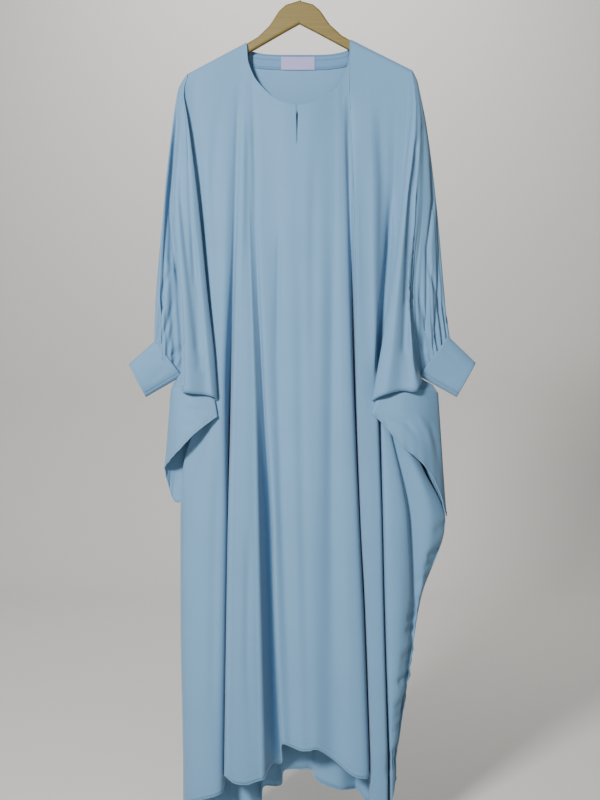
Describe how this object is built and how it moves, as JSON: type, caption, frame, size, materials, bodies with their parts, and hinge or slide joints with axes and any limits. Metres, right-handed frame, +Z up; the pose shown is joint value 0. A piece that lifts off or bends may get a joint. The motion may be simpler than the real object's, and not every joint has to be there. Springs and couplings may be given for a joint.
{
  "type": "butterfly abaya on a wooden hanger",
  "caption": "Pale dusty blue crepe butterfly abaya with a keyhole neck and gathered cuffs, hanging on a flat wooden hanger.",
  "frame": {"origin": "the inner top of the hanger's hook, where a rail carries it", "axes": "+Z up, the front of the garment faces -Y, +X towards the sleeve at the right of the front view"},
  "size_m": [0.6584, 0.099, 1.606],
  "materials": {
    "crepe": "matt",
    "label": "satin",
    "wood": "satin",
    "steel": "satin"
  },
  "bodies": {
    "root": {"front_panel": "crepe", "back_panel": "crepe", "left_sleeve": "crepe", "right_sleeve": "crepe", "left_wing": "crepe", "right_wing": "crepe", "left_cuff": "crepe", "right_cuff": "crepe", "neck_facing": "crepe", "neck_label": "label", "hanger_body": "wood", "hanger_hook": "steel"}
  },
  "joints": []
}
